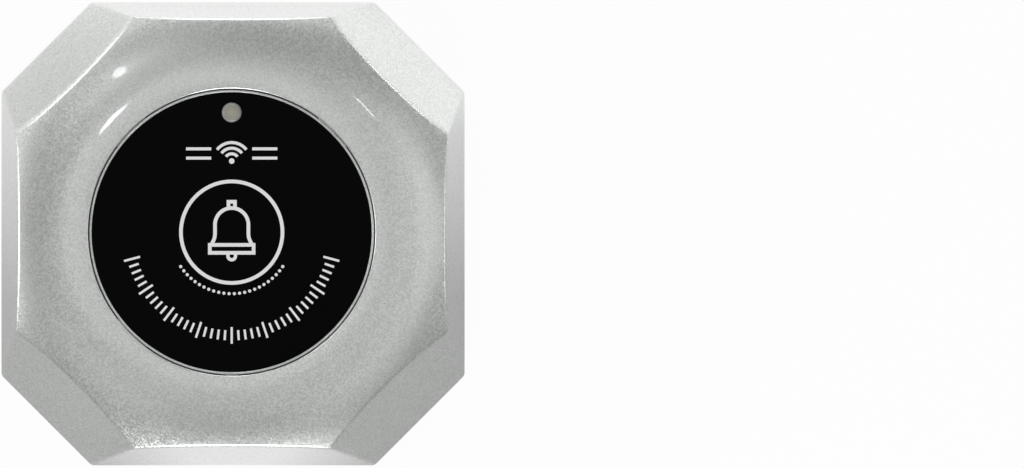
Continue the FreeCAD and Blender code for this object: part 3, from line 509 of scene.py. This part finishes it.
def silver_paint():
    """Metallic paint: a Voronoi cell is a flake, which tints and tilts the surface by its own random
    colour. Slow noise gives the sprayed paint its faint orange peel, and a clear coat lies over all."""
    paint = Finish("silver_paint", Metallic=0.9, Coat_Weight=1.0, Coat_Roughness=0.04)
    flake = paint.node("ShaderNodeTexVoronoi", {}, {"Vector": paint.place(), "Scale": 4600.0}, out="Color")
    lone = paint.node("ShaderNodeSeparateColor", {}, {0: flake})
    tilt = paint.node("ShaderNodeVectorMath", {"operation": "SUBTRACT"}, {0: flake, 1: (0.5, 0.5, 0.5)})
    tilt = paint.node("ShaderNodeVectorMath", {"operation": "SCALE"}, {0: tilt, "Scale": 0.08})
    peel = paint.relief(paint.noise(260, 2.0), 0.00003)
    facing = paint.node("ShaderNodeVectorMath", {"operation": "ADD"}, {0: peel, 1: tilt})
    facing = paint.node("ShaderNodeVectorMath", {"operation": "NORMALIZE"}, {0: facing})
    cloud = paint.noise(60, 2.0)
    return paint.paint(
        Base_Color=paint.blend(lone * 0.7 + cloud * 0.3, (0.61, 0.627, 0.611), (0.93, 0.95, 0.93)),
        Roughness=0.32 + 0.05 * lone,
        Normal=facing)


SILVER_PAINT = silver_paint()


def crown_level(radius, inset=0.0):
    """Height of the crowned top: the upper outside of a ring of round section lying about the hole."""
    return CROWN_CENTRE + np.sqrt((CROWN_ROUND - inset) ** 2 - (radius - CREST_CIRCLE) ** 2)


def side_point(side, share, level, inset=0.0):
    """Point on one of the eight leaning sides, between its two mitre lines, at a level.
    Two neighbouring sides, whose normals stand 45 degrees apart, meet where both their distances hold."""
    above = np.maximum(level - SKIRT_TOP, 0.0)
    straight = FLAT_HALF - inset / np.cos(SIDE_DRAFT) - np.tan(SIDE_DRAFT) * above
    slanting = CORNER_HALF - inset / np.cos(CORNER_DRAFT) - np.tan(CORNER_DRAFT) * above
    own = np.where(side % 2 == 0, straight, slanting)
    other = np.where(side % 2 == 0, slanting, straight)
    facing = side * np.pi / 4
    half_run = (other - own * np.cos(np.pi / 4)) / np.sin(np.pi / 4)
    across = half_run * (2 * share - 1)
    return (own * np.cos(facing) - across * np.sin(facing), own * np.sin(facing) + across * np.cos(facing))


def toward_ends(count, power):
    """Shares from 0 to 1 that crowd together at both ends."""
    half = 0.5 * np.linspace(0, 1, count // 2 + 1) ** power
    return np.concatenate([half, 1 - half[-2::-1]])


def shell_rows(inset, lead):
    """Rows of the leaning sides and of the crown for one skin of the case. Side rows rise to where the side
    meets the crown, and crown rows run straight from there to the lead radius about the hole."""
    share = np.tile(toward_ends(STEPS_PER_SIDE, 2.4)[:-1], 8)
    side = np.repeat(np.arange(8), STEPS_PER_SIDE)
    top = np.full(share.shape, 17.0)
    for _ in range(24):
        x, y = side_point(side, share, top, inset)
        top = crown_level(np.hypot(x, y), inset)
    rise = toward_ends(36, 2.2)[:, None]
    level = SKIRT_TOP + rise * (top - SKIRT_TOP)
    x, y = side_point(side, share, level, inset)
    sides = np.stack([x, y, level], axis=-1)
    rim = np.hypot(x[-1], y[-1])
    angle = np.arctan2(y[-1], x[-1])
    run = (np.linspace(0, 1, 44) ** 1.7)[1:, None]
    radius = rim + run * (lead - rim)
    crown = np.stack([radius * np.cos(angle), radius * np.sin(angle), crown_level(radius, inset)], axis=-1)
    return angle, sides, crown


def rounding_distance(point):
    """Distance to the case's outer form with all its convex edges rounded: the largest of the distances to
    the side planes, the skirt planes and the crown, joined by a round where two or more are near."""
    x, y, z = point[..., 0], point[..., 1], point[..., 2]
    distances = [np.hypot(np.hypot(x, y) - CREST_CIRCLE, z - CROWN_CENTRE) - CROWN_ROUND]
    for side in range(8):
        facing = side * np.pi / 4
        half, draft = (FLAT_HALF, SIDE_DRAFT) if side % 2 == 0 else (CORNER_HALF, CORNER_DRAFT)
        out = x * np.cos(facing) + y * np.sin(facing) - half
        distances += [out, out * np.cos(draft) + (z - SKIRT_TOP) * np.sin(draft)]
    near = np.stack(distances)
    push = np.maximum(near + EDGE_ROUND, 0.0)
    return np.minimum(near.max(axis=0), -EDGE_ROUND) + np.sqrt((push ** 2).sum(axis=0))


def rounded(point):
    """Points moved along the distance's own slope until they lie on the rounded form."""
    step = 1e-4
    for _ in range(8):
        value = rounding_distance(point)
        slope = np.stack([(rounding_distance(point + step * axis) - value) / step for axis in np.eye(3)],
                         axis=-1)
        steepness = np.maximum((slope ** 2).sum(axis=-1, keepdims=True), 1e-6)
        point = point - value[..., None] * slope / steepness
    return point


def levelled(row, levels):
    """Copies of one row of points at the given levels."""
    rows = np.repeat(row[None], len(levels), axis=0)
    rows[..., 2] = np.array(levels)[:, None]
    return rows


def ringed(angle, profile):
    """Rows of a profile of radii and levels at the columns' own angles."""
    radius, level = np.array(profile, float).T
    return np.stack([radius[:, None] * np.cos(angle), radius[:, None] * np.sin(angle),
                     np.repeat(level[:, None], len(angle), axis=1)], axis=-1)


angle, outer_sides, outer_crown = shell_rows(0.0, HOLE_RADIUS + LIP_ROUND)
_, inner_sides, inner_crown = shell_rows(CASE_WALL, COLLAR_RADIUS)
skirt = levelled(outer_sides[0], [TABLE_GAP, 2.0, 2.9, 3.2, 3.4, 3.5, 3.55])
outside = rounded(np.concatenate([skirt, outer_sides, outer_crown]))
lip_level = crown_level(HOLE_RADIUS + LIP_ROUND)
lip = ringed(angle, corner_arc(LIP_ROUND, HOLE_RADIUS + LIP_ROUND, lip_level - LIP_ROUND, 96, 180, 8)
             + [(HOLE_RADIUS, lip_level - 1.0), (HOLE_RADIUS, COLLAR_BOTTOM),
                (COLLAR_RADIUS, COLLAR_BOTTOM)])
mouth = levelled(inner_sides[0], [2.5, TABLE_GAP])
case_skin = np.concatenate([outside, lip, inner_crown[::-1], inner_sides[::-1], mouth])

case_grids = [(case_skin, True, True)]
boss = block(BOSS_BORE, BOSS_RADIUS, BOSS_BOTTOM, BOSS_TOP) + [(BOSS_BORE, BOSS_SCREW_END)]
for place in np.radians(CORNER_PLACES):
    x, y = FOOT_CIRCLE * np.cos(place), FOOT_CIRCLE * np.sin(place)
    case_grids.append((lathe(boss, 32, x, y), True, True))
seat = []
for inset, level in ((SEAT_OUTER, SKIRT_TOP), (SEAT_OUTER, SEAT_TOP), (SEAT_INNER, SEAT_TOP),
                     (SEAT_INNER, SKIRT_TOP)):
    x, y = side_point(np.arange(8), np.zeros(8), np.full(8, SKIRT_TOP), inset)
    seat.append(np.column_stack([x, y, np.full(8, level)]))
case_grids.append((np.stack(seat), True, True))
solid("case_top", case_grids, SILVER_PAINT, "housing", "upper_cover", crease=50)


# ---- Button ----
# Moulded ABS disc in the same silver paint, with a shallow recess for the label, a skirt that slides in
# the case's collar, four hooks that stop it coming out, a key, and a plunger over the switch.

BUTTON_RADIUS = 21.55
CAP_TOP = 19.292
CAP_UNDER = 17.392
SKIRT_BOTTOM = 14.492
RECESS_RADIUS = 21.2
RECESS_FLOOR = 18.992
LIGHT_HOLE = 1.53
SKIRT_INNER = 20.35
HOOK_REACH = 22.85
HOOK_BOTTOM = 12.65
HOOK_CATCH = 13.85
HOOK_ARM = 21.5
HOOK_TOP = 15.7
HOOK_WIDTH = 16.0
KEY_INNER = 20.95
KEY_OUTER = 22.4
KEY_HEIGHT = 3.0
KEY_WIDTH = 5.2
RIB_TOP = 17.5
PLUNGER_RADIUS = 2.0
PLUNGER_TIP = 14.65
GUIDE_INNER = 5.0
GUIDE_OUTER = 5.8
GUIDE_BOTTOM = 16.4


def drilled_disc(profile, columns=360):
    """Rows run from a hole beside the centre out to the rim and back. A profile entry is (rim radius,
    share of the way from the hole to that rim, level). Columns are even round the rim, and meet the hole
    at the point that faces them."""
    around = np.linspace(0, 2 * np.pi, columns, endpoint=False)
    rows = []
    for radius, share, level in profile:
        rim = radius * np.stack([np.cos(around), np.sin(around)], axis=-1)
        centre = np.array([0.0, LED_OFFSET])
        facing = rim - centre
        facing /= np.linalg.norm(facing, axis=1, keepdims=True)
        hole = centre + LIGHT_HOLE * facing
        rows.append(np.column_stack([hole + share * (rim - hole), np.full(columns, level)]))
    return np.stack(rows)


cap = drilled_disc([
    (RECESS_RADIUS, 0, CAP_UNDER), (RECESS_RADIUS, 0, RECESS_FLOOR), (RECESS_RADIUS, 1, RECESS_FLOOR),
    (RECESS_RADIUS, 1, CAP_TOP - 0.04), (RECESS_RADIUS + 0.04, 1, CAP_TOP),
    (BUTTON_RADIUS - 0.12, 1, CAP_TOP), (BUTTON_RADIUS - 0.035, 1, CAP_TOP - 0.035),
    (BUTTON_RADIUS, 1, CAP_TOP - 0.12),
    (BUTTON_RADIUS, 1, SKIRT_BOTTOM), (SKIRT_INNER, 1, SKIRT_BOTTOM), (SKIRT_INNER, 1, CAP_UNDER)])
hook = [(SKIRT_INNER, HOOK_BOTTOM), (HOOK_REACH, HOOK_BOTTOM), (HOOK_REACH, HOOK_CATCH),
        (HOOK_ARM, HOOK_CATCH), (HOOK_ARM, HOOK_TOP), (SKIRT_INNER, HOOK_TOP)]
key = block(KEY_INNER, KEY_OUTER, SKIRT_BOTTOM, SKIRT_BOTTOM + KEY_HEIGHT)
cap_grids = [(cap, True, True),
             (lathe(block(0.02, PLUNGER_RADIUS, PLUNGER_TIP, RIB_TOP), 48), False, True),
             (lathe(block(GUIDE_INNER, GUIDE_OUTER, GUIDE_BOTTOM, RIB_TOP), 72), True, True)]
cap_grids += [sector(hook, middle, HOOK_WIDTH) for middle in CORNER_PLACES]
cap_grids.append(sector(key, 270, KEY_WIDTH, 3))
solid("button_disc", cap_grids, SILVER_PAINT, "button", "button_cap")


# ---- Label ----
# Black polyester film, glued into the button's recess with its edge just below the silver rim. It has a
# fine satin face.

LABEL_RADIUS = 21.17
LABEL_BOTTOM = 18.992
LABEL_TOP = 19.242


def black_film():
    """Deep black film: fine noise breaks its gloss, and slow noise gives it a faint wave."""
    film = Finish("black_label", Roughness=0.3, Specular_IOR_Level=0.04)
    fine = film.noise(2400, 2.0)
    return film.paint(
        Base_Color=film.blend(film.noise(90, 2.0), (0.0006, 0.0006, 0.0007), (0.0014, 0.0014, 0.0015)),
        Roughness=0.27 + 0.1 * fine,
        Normal=film.relief(film.noise(130, 1.0), 0.00001))


film = drilled_disc([
    (LABEL_RADIUS, 0, LABEL_BOTTOM), (LABEL_RADIUS, 0, LABEL_TOP), (LABEL_RADIUS - 0.05, 1, LABEL_TOP),
    (LABEL_RADIUS, 1, LABEL_TOP - 0.05), (LABEL_RADIUS, 1, LABEL_BOTTOM)])
solid("face_film", [(film, True, True)], black_film(), "button", "face_label")


# ---- Print on the label ----
# Screen-printed white ink: a ring with the outline of a hand bell, a scale of short ticks below it, an
# arc of dots, and a small sign of radio waves between two pairs of bars above.

INK_BOTTOM = LABEL_TOP
INK_TOP = LABEL_TOP + 0.05
INK_STEP = 0.012
INK_LINE = 0.55
RING_RADIUS = 7.95
BELL_HALF = 2.525
BELL_SHOULDER = 1.13
FLARE_TOP = -0.15
FLARE_DROP = 1.75
FLARE_REACH = 0.62
FLARE_POWER = 2.2
RIM_HALF = 3.31
RIM_TOP = -1.92
RIM_BOTTOM = -3.12
KNOB_HALF = 0.49
KNOB_BOTTOM = 3.6
KNOB_TOP = 4.6
CLAPPER_LINE = 0.5
CLAPPER_RADIUS = 0.57
CLAPPER_TOP = -3.2
CLAPPER_CENTRE = -3.6
TICK_CIRCLE = 15.6
TICK_LINE = 0.34
SHORT_TICK = 0.75
LONG_TICK = 1.25
DOT_CIRCLE = 9.3
DOT_RADIUS = 0.24
SIGN_LINE = 0.45
WAVE_CENTRE = 10.75
WAVE_RADII = (1.1, 1.95, 2.8)
WAVE_DOT = 0.42
BAR_START = 3.1
BAR_END = 6.9
BAR_LEVELS = (12.6, 11.2)


def stroke(path, width, closed=False, top=INK_TOP):
    """A flat bar of ink along a path. Each point is pushed sideways by half the width over the cosine of
    half the turn there, so that corners are mitred. Bars that cross have different tops."""
    path = np.array(path, float)
    before = np.roll(path, 1, axis=0)
    after = np.roll(path, -1, axis=0)
    if not closed:
        before[0] = 2 * path[0] - path[1]
        after[-1] = 2 * path[-1] - path[-2]
    into = path - before
    onward = after - path
    into /= np.linalg.norm(into, axis=1, keepdims=True)
    onward /= np.linalg.norm(onward, axis=1, keepdims=True)
    mitre = into + onward
    mitre /= np.linalg.norm(mitre, axis=1, keepdims=True)
    push = width / 2 / (mitre * onward).sum(axis=1, keepdims=True)
    sideways = np.stack([-mitre[:, 1], mitre[:, 0]], axis=-1) * push
    section = []
    for edge, level in ((-1, INK_BOTTOM), (1, INK_BOTTOM), (1, top), (-1, top)):
        section.append(np.column_stack([path + edge * sideways, np.full(len(path), level)]))
    return (np.stack(section, axis=1), closed, True)


def arc(radius, start, end, steps, x=0.0, y=0.0):
    """Points of an arc between two angles in degrees."""
    turn = np.radians(np.linspace(start, end, steps))
    return np.column_stack([x + radius * np.cos(turn), y + radius * np.sin(turn)])


def dot(radius, x, y):
    """A round spot of ink."""
    return (lathe(block(0.01, radius, INK_BOTTOM, INK_TOP), 20, x, y), False, True)


def white_ink():
    """Opaque white ink: fine noise gives it the screen's slight mottle."""
    ink = Finish("white_ink", Roughness=0.5)
    mottle = ink.noise(5000, 2.0)
    return ink.paint(
        Base_Color=ink.blend(mottle, (0.92, 0.92, 0.92), (0.97, 0.97, 0.97)),
        Roughness=0.45 + 0.1 * mottle)


# The bell's sides flare out below its round shoulder. Its rim, knob and clapper overlap it.
flare = np.linspace(0, 1, 12)
bell_side = np.column_stack([BELL_HALF + FLARE_REACH * flare ** FLARE_POWER,
                             FLARE_TOP - FLARE_DROP * flare])
bell_body = np.concatenate([bell_side[::-1], arc(BELL_HALF, 0, 180, 40, 0.0, BELL_SHOULDER),
                            bell_side * np.array([-1, 1])])
rim_box = [(-RIM_HALF, RIM_TOP), (RIM_HALF, RIM_TOP), (RIM_HALF, RIM_BOTTOM), (-RIM_HALF, RIM_BOTTOM)]
knob_path = [(-KNOB_HALF, KNOB_BOTTOM), (-KNOB_HALF, KNOB_TOP), (KNOB_HALF, KNOB_TOP),
             (KNOB_HALF, KNOB_BOTTOM)]
clapper = np.concatenate([[(-CLAPPER_RADIUS, CLAPPER_TOP)],
                          arc(CLAPPER_RADIUS, 180, 360, 20, 0.0, CLAPPER_CENTRE),
                          [(CLAPPER_RADIUS, CLAPPER_TOP)]])
print_grids = [stroke(arc(RING_RADIUS - INK_LINE / 2, 0, 357.5, 144), INK_LINE, True),
               stroke(bell_body, INK_LINE, top=INK_TOP - INK_STEP),
               stroke(rim_box, INK_LINE, True),
               stroke(knob_path, INK_LINE, top=INK_TOP - 2 * INK_STEP),
               stroke(clapper, CLAPPER_LINE, top=INK_TOP - INK_STEP)]
for number, turn in enumerate(np.radians(np.linspace(195, 345, 41))):
    reach = LONG_TICK if number % 5 == 0 else SHORT_TICK
    print_grids.append(stroke([(np.cos(turn) * radius, np.sin(turn) * radius)
                               for radius in (TICK_CIRCLE - reach, TICK_CIRCLE + reach)], TICK_LINE))
for turn in np.radians(np.linspace(214, 326, 24)):
    print_grids.append(dot(DOT_RADIUS, DOT_CIRCLE * np.cos(turn), DOT_CIRCLE * np.sin(turn)))
print_grids.append(dot(WAVE_DOT, 0.0, WAVE_CENTRE))
for radius in WAVE_RADII:
    print_grids.append(stroke(arc(radius, 38, 142, 24, 0.0, WAVE_CENTRE), SIGN_LINE))
for way in (-1, 1):
    for level in BAR_LEVELS:
        print_grids.append(stroke([(way * BAR_START, level), (way * BAR_END, level)], SIGN_LINE))
solid("label_ink", print_grids, white_ink(), "button", "label_print")


# ---- Floor, lamps and camera ----
# A pale floor that reads white to the eye but still takes the object's shadow, and soft studio lamps:
# overhead ones for the crown, side ones for the print and the walls, and low ones for the edges.

FLOOR_LEVEL = -0.0001
FLOOR_REACH = 3.0
FLOOR_WHITE = 0.87
FLOOR_GLOW = 1.09
PATCH_NEAR = 0.01
PATCH_FAR = 0.026
# Painted light and shade on the floor, seen only where the paint mirrors it: each patch adds its share of
# brightness round its centre, and a negative share paints shade.
FLOOR_LIGHT_AND_SHADE_PATCHES = (((0.0, -0.046, 0.0), 0.54), ((-0.046, 0.006, 0.0), 0.05),
                 ((-0.047, 0.047, 0.0), -0.42), ((0.05, 0.038, 0.0), 0.4))


def white_floor():
    """Matt grey for the light that falls on it, and mostly plain white where it is looked at. Where the
    paint mirrors it, painted shade makes it darker towards the front, and the patches paint light or shade
    that lift or lower it."""
    floor = Finish("floor_white")
    tree = floor.tree
    tree.nodes.remove(floor.shader)
    seen = floor.node("ShaderNodeLightPath", out="Is Camera Ray")
    mirrored = floor.node("ShaderNodeLightPath", out="Is Glossy Ray")
    through = floor.node("ShaderNodeLightPath", out="Is Transmission Ray")
    # Painted light and shade seen only in reflections: brighter towards the back, with patches of light and
    # shade.
    back = floor.node("ShaderNodeSeparateXYZ", {}, {"Vector": floor.place()}, out="Y")
    share = floor.ramp(back, -0.01, 0.045, 0.23, 0.95)
    for centre, painted_lift in FLOOR_LIGHT_AND_SHADE_PATCHES:
        away = floor.node("ShaderNodeVectorMath", {"operation": "DISTANCE"},
                          {0: floor.place(), 1: centre}, out="Value")
        share = share + floor.ramp(away, PATCH_NEAR, PATCH_FAR, painted_lift, 0.0)
    matt = floor.node("ShaderNodeBsdfDiffuse", {}, {"Color": (0.4, 0.4, 0.4, 1.0)})
    glow = floor.node("ShaderNodeEmission", {}, {"Color": (1.0, 1.0, 1.0, 1.0), "Strength": FLOOR_GLOW})
    amount = FLOOR_WHITE * seen + FLOOR_WHITE * through + mirrored * share
    mixed = floor.node("ShaderNodeMixShader", {}, {0: amount, 1: matt, 2: glow})
    out = next(node for node in tree.nodes if node.type == "OUTPUT_MATERIAL")
    tree.links.new(mixed.socket, out.inputs["Surface"])
    return floor


floor_mesh = bpy.data.meshes.new("floor")
floor_mesh.from_pydata([(FLOOR_REACH * x, FLOOR_REACH * y, FLOOR_LEVEL)
                        for x, y in ((-1, -1), (1, -1), (1, 1), (-1, 1))], [], [(0, 1, 2, 3)])
floor_mesh.materials.append(white_floor().material)
floor = bpy.data.objects.new("floor", floor_mesh)
bpy.context.scene.collection.objects.link(floor)

world = bpy.data.worlds.new("studio")
world.use_nodes = True
world.node_tree.nodes["Background"].inputs["Color"].default_value = (1.0, 1.0, 1.0, 1.0)
world.node_tree.nodes["Background"].inputs["Strength"].default_value = 0.25
bpy.context.scene.world = world


def softbox(name, azimuth, polar, width, height, radiance, distance=1.3):
    """A soft lamp at an angle off the vertical, turned to the origin. It has the given brightness to the
    eye: its power is pi times brightness times area."""
    lamp = bpy.data.lights.new(name, "AREA")
    lamp.shape = "ELLIPSE"
    lamp.size = width
    lamp.size_y = height
    lamp.energy = radiance * np.pi * (np.pi / 4 * width * height)
    item = bpy.data.objects.new(name, lamp)
    bpy.context.scene.collection.objects.link(item)
    item.visible_camera = False
    turn, lean = np.radians(azimuth), np.radians(polar)
    out = Vector((np.sin(lean) * np.cos(turn), np.sin(lean) * np.sin(turn), np.cos(lean)))
    item.location = distance * out
    item.rotation_mode = "QUATERNION"
    item.rotation_quaternion = out.to_track_quat("Z", "Y")


softbox("overhead_right", 15, 9, 0.4, 0.4, 0.22)
softbox("overhead_left", 160, 8, 0.4, 0.4, 0.44)
softbox("ceiling_back_right", 22, 21, 0.45, 0.6, 0.25)
softbox("ceiling_back_left", 135, 20, 0.6, 0.6, 0.06)
softbox("ceiling_front_left", 225, 20, 0.6, 0.6, 0.24)
softbox("ceiling_front_right", 315, 20, 0.6, 0.6, 0.27)
softbox("right_fill", 0, 36, 0.6, 0.5, 0.62)
softbox("back_right_fill", 30, 37, 0.4, 0.5, 0.42)
softbox("left_fill", 135, 36, 0.45, 0.45, 0.3)
softbox("front_left_fill", 225, 36, 0.7, 0.45, 0.25)
softbox("front_right_fill", 315, 36, 0.7, 0.45, 0.3)
softbox("key", 45, 72, 0.5, 0.2, 4.0)
softbox("side_back", 90, 70, 0.7, 0.4, 3.5)
softbox("side_back_left", 135, 71, 0.5, 0.2, 9.0)
softbox("side_left", 180, 71, 0.6, 0.4, 7.0)
softbox("side_front", 270, 72, 0.7, 0.5, 9.0)
softbox("side_right", 0, 68, 0.6, 0.35, 2.0)
softbox("low_back_right", 45, 87, 0.7, 0.05, 2.5)
softbox("low_back", 90, 87, 0.9, 0.12, 4.0)
# Three small lamps give the sharp highlights on the crown.
softbox("near_spot", 135.8, 10.4, 0.055, 0.085, 17.0, distance=1.5)
softbox("left_spot", 125.2, 34.8, 0.062, 0.17, 10.5, distance=1.4)
softbox("right_spot", 45.9, 23.7, 0.1, 0.036, 10.0, distance=1.5)

CAMERA_TARGET = Vector((0.04218, -0.00005, 0.002))
CAMERA_DISTANCE = 0.9
CAMERA_WIDTH = 0.1548
TILT_FRONT = np.radians(0.77)
TILT_RIGHT = np.radians(0.65)

camera_data = bpy.data.cameras.new("camera")
camera_data.type = "ORTHO"
camera_data.ortho_scale = CAMERA_WIDTH
camera_data.clip_start = 0.01
camera = bpy.data.objects.new("camera", camera_data)
bpy.context.scene.collection.objects.link(camera)
bpy.context.scene.camera = camera
camera.rotation_euler = (TILT_FRONT, TILT_RIGHT, 0.0)
camera.location = CAMERA_TARGET + CAMERA_DISTANCE * Vector((
    np.sin(TILT_RIGHT) * np.cos(TILT_FRONT), -np.sin(TILT_FRONT), np.cos(TILT_RIGHT) * np.cos(TILT_FRONT)))

bpy.context.scene.view_settings.view_transform = "Standard"
